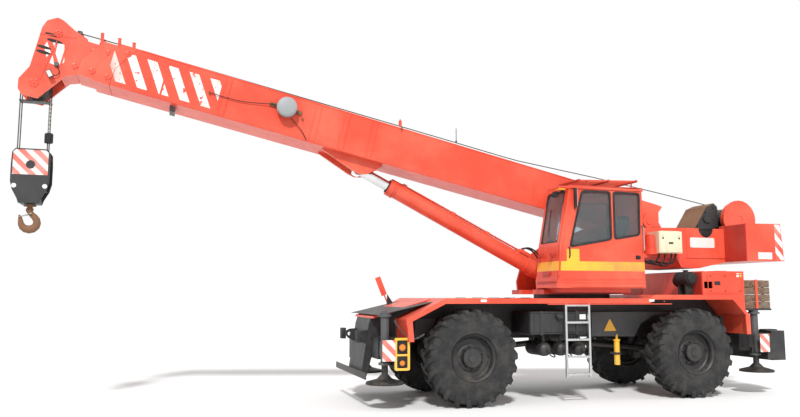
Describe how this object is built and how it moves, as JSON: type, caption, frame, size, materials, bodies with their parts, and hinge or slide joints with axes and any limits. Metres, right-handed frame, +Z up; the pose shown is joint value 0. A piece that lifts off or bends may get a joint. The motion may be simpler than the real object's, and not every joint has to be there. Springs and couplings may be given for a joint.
{
  "type": "mobile crane",
  "caption": "Rough-terrain mobile crane on steered wheels, with outriggers, a slewing upper and cab, a telescopic luffing boom and a hook block on ropes.",
  "frame": {"origin": "middle of the machine's overall length and width, on the ground plane under the tyres", "axes": "+X towards the counterweight (the boom head is at -X), +Y towards the machine's right side (the cab is at -Y), +Z up"},
  "size_m": [12.7686, 2.44, 5.8003],
  "materials": {
    "red_paint": "semi-gloss, sun-faded, dusty",
    "black_paint": "satin, dusty, rust at edges",
    "cream_paint": "satin",
    "tyre_rubber": "matt, dusty sidewalls",
    "chrome_rod": "polished, a film of oil",
    "aluminium": "brushed, scuffed",
    "cab_glass": "clear, slightly tinted",
    "seat_fabric": "woven, worn",
    "timber": "weathered, rough-sawn",
    "cast_iron": "matt, oily",
    "wire_rope": "greased strands"
  },
  "bodies": {
    "carrier": {"chassis_frame": "black_paint", "deck": "red_paint", "engine_hood": "red_paint", "engine_block": "cast_iron", "air_cleaner": "black_paint", "front_outrigger_box": "black_paint", "rear_outrigger_box": "black_paint", "timber_mats": "timber", "fuel_tank": "black_paint", "air_tanks": "black_paint", "hydraulic_tank": "black_paint", "access_ladder": "aluminium", "front_axle": "black_paint", "rear_axle": "black_paint", "slew_ring": "black_paint"},
    "front_left_steering": {"front_left_knuckle": "black_paint"},
    "front_left_wheel": {"front_left_tyre": "tyre_rubber", "front_left_rim": "black_paint"},
    "front_left_beam": {"front_left_outrigger_beam": "black_paint"},
    "front_left_jack": {"front_left_float": "black_paint"},
    "front_right_steering": {"front_right_knuckle": "black_paint"},
    "front_right_wheel": {"front_right_tyre": "tyre_rubber", "front_right_rim": "black_paint"},
    "front_right_beam": {"front_right_outrigger_beam": "black_paint"},
    "front_right_jack": {"front_right_float": "black_paint"},
    "rear_left_steering": {"rear_left_knuckle": "black_paint"},
    "rear_left_wheel": {"rear_left_tyre": "tyre_rubber", "rear_left_rim": "black_paint"},
    "rear_left_beam": {"rear_left_outrigger_beam": "black_paint"},
    "rear_left_jack": {"rear_left_float": "black_paint"},
    "rear_right_steering": {"rear_right_knuckle": "black_paint"},
    "rear_right_wheel": {"rear_right_tyre": "tyre_rubber", "rear_right_rim": "black_paint"},
    "rear_right_beam": {"rear_right_outrigger_beam": "black_paint"},
    "rear_right_jack": {"rear_right_float": "black_paint"},
    "superstructure": {"turntable": "red_paint", "counterweight": "red_paint", "control_cabinet": "cream_paint", "aux_drum_housing": "black_paint", "winch_frame": "red_paint", "cab_shell": "red_paint", "windscreen": "cab_glass", "right_window": "cab_glass", "seat": "seat_fabric"},
    "winch": {"winch_drum": "red_paint"},
    "door": {"cab_door": "red_paint", "door_glass_front": "cab_glass", "door_glass_rear": "cab_glass"},
    "base_boom": {"boom_base": "red_paint"},
    "second_boom": {"boom_section_2": "red_paint"},
    "third_boom": {"boom_section_3": "red_paint"},
    "tip_boom": {"boom_tip": "red_paint"},
    "lower_sheaves": {"head_sheave_lower": "cast_iron"},
    "upper_sheaves": {"head_sheave_upper": "cast_iron"},
    "cylinder_rod": {"luff_rod": "chrome_rod"},
    "cylinder_barrel": {"luff_barrel": "red_paint"},
    "ropes": {"hoist_ropes": "wire_rope"},
    "block": {"hook_block": "black_paint"},
    "hook_swivelling": {"hook": "black_paint"}
  },
  "joints": [
    {"name": "front_left_steer", "type": "hinge", "parent": "carrier", "child": "front_left_steering", "pos_m": [0.3533, -0.68, 0.745], "axis": [0, 0, 1], "range_deg": [-24, 24]},
    {"name": "front_left_spin", "type": "hinge", "parent": "front_left_steering", "child": "front_left_wheel", "pos_m": [0.3533, -1, 0.745], "axis": [0, 1, 0], "continuous": true},
    {"name": "front_left_beam_slide", "type": "slide", "parent": "carrier", "child": "front_left_beam", "axis": [0, -1, 0], "range_m": [0, 1.35]},
    {"name": "front_left_jack_slide", "type": "slide", "parent": "front_left_beam", "child": "front_left_jack", "axis": [0, 0, -1], "range_m": [0, 0.55]},
    {"name": "front_right_steer", "type": "hinge", "parent": "carrier", "child": "front_right_steering", "pos_m": [0.3533, 0.68, 0.745], "axis": [0, 0, 1], "range_deg": [-24, 24]},
    {"name": "front_right_spin", "type": "hinge", "parent": "front_right_steering", "child": "front_right_wheel", "pos_m": [0.3533, 1, 0.745], "axis": [0, 1, 0], "continuous": true},
    {"name": "front_right_beam_slide", "type": "slide", "parent": "carrier", "child": "front_right_beam", "axis": [0, 1, 0], "range_m": [0, 1.35]},
    {"name": "front_right_jack_slide", "type": "slide", "parent": "front_right_beam", "child": "front_right_jack", "axis": [0, 0, -1], "range_m": [0, 0.55]},
    {"name": "rear_left_steer", "type": "hinge", "parent": "carrier", "child": "rear_left_steering", "pos_m": [4.3683, -0.68, 0.745], "axis": [0, 0, 1], "range_deg": [-24, 24]},
    {"name": "rear_left_spin", "type": "hinge", "parent": "rear_left_steering", "child": "rear_left_wheel", "pos_m": [4.3683, -1, 0.745], "axis": [0, 1, 0], "continuous": true},
    {"name": "rear_left_beam_slide", "type": "slide", "parent": "carrier", "child": "rear_left_beam", "axis": [0, -1, 0], "range_m": [0, 1.35]},
    {"name": "rear_left_jack_slide", "type": "slide", "parent": "rear_left_beam", "child": "rear_left_jack", "axis": [0, 0, -1], "range_m": [0, 0.55]},
    {"name": "rear_right_steer", "type": "hinge", "parent": "carrier", "child": "rear_right_steering", "pos_m": [4.3683, 0.68, 0.745], "axis": [0, 0, 1], "range_deg": [-24, 24]},
    {"name": "rear_right_spin", "type": "hinge", "parent": "rear_right_steering", "child": "rear_right_wheel", "pos_m": [4.3683, 1, 0.745], "axis": [0, 1, 0], "continuous": true},
    {"name": "rear_right_beam_slide", "type": "slide", "parent": "carrier", "child": "rear_right_beam", "axis": [0, 1, 0], "range_m": [0, 1.35]},
    {"name": "rear_right_jack_slide", "type": "slide", "parent": "rear_right_beam", "child": "rear_right_jack", "axis": [0, 0, -1], "range_m": [0, 0.55]},
    {"name": "slew", "type": "hinge", "parent": "carrier", "child": "superstructure", "pos_m": [2.7133, 0, 1.7], "axis": [0, 0, 1], "continuous": true},
    {"name": "boom_luff", "type": "hinge", "parent": "superstructure", "child": "base_boom", "pos_m": [4.0533, 0, 3.02], "axis": [0, 1, 0], "range_deg": [-12.8, 65.2]},
    {"name": "luff_rod_swing", "type": "hinge", "parent": "base_boom", "child": "cylinder_rod", "pos_m": [-1.2031, 0, 3.7835], "axis": [0, 1, 0], "range_deg": [-1, 4]},
    {"name": "luff_barrel_slide", "type": "slide", "parent": "cylinder_rod", "child": "cylinder_barrel", "axis": [0.8911, 0, -0.4537], "range_m": [-0.48, 2.35]},
    {"name": "second_boom_slide", "type": "slide", "parent": "base_boom", "child": "second_boom", "axis": [-0.9751, 0, 0.2215], "range_m": [0, 6.8]},
    {"name": "third_boom_slide", "type": "slide", "parent": "second_boom", "child": "third_boom", "axis": [-0.9751, 0, 0.2215], "range_m": [0, 6.8]},
    {"name": "tip_boom_slide", "type": "slide", "parent": "third_boom", "child": "tip_boom", "axis": [-0.9751, 0, 0.2215], "range_m": [0, 6.8]},
    {"name": "lower_sheave_spin", "type": "hinge", "parent": "tip_boom", "child": "lower_sheaves", "pos_m": [-6.1243, 0, 4.7816], "axis": [0, 1, 0], "continuous": true},
    {"name": "upper_sheave_spin", "type": "hinge", "parent": "tip_boom", "child": "upper_sheaves", "pos_m": [-5.8312, 0, 5.5528], "axis": [0, 1, 0], "continuous": true},
    {"name": "hook_swing", "type": "hinge", "parent": "tip_boom", "child": "ropes", "pos_m": [-6.1243, 0, 4.7816], "axis": [0, 1, 0], "range_deg": [-65.2, 12.8]},
    {"name": "hook_hoist", "type": "slide", "parent": "ropes", "child": "block", "axis": [0, 0, -1], "range_m": [-0.55, 2.4], "deforming": ["hoist_ropes"]},
    {"name": "hook_swivel", "type": "hinge", "parent": "block", "child": "hook_swivelling", "pos_m": [-6.1243, 0, 3.0196], "axis": [0, 0, 1], "continuous": true},
    {"name": "winch_spin", "type": "hinge", "parent": "superstructure", "child": "winch", "pos_m": [6.0283, 0, 3.119], "axis": [0, 1, 0], "continuous": true},
    {"name": "cab_door_slide", "type": "slide", "parent": "superstructure", "child": "door", "axis": [1, 0, 0], "range_m": [0, 0.6]}
  ],
  "couplings": [
    {"joint": "front_right_steer", "follows": "front_left_steer", "ratio": 1},
    {"joint": "rear_right_steer", "follows": "rear_left_steer", "ratio": 1},
    {"joint": "luff_rod_swing", "follows": "boom_luff", "ratio": 0.05},
    {"joint": "luff_barrel_slide", "follows": "boom_luff", "m_per_rad": 2.036},
    {"joint": "third_boom_slide", "follows": "second_boom_slide", "ratio": 1},
    {"joint": "tip_boom_slide", "follows": "second_boom_slide", "ratio": 1},
    {"joint": "hook_swing", "follows": "boom_luff", "ratio": -1}
  ]
}
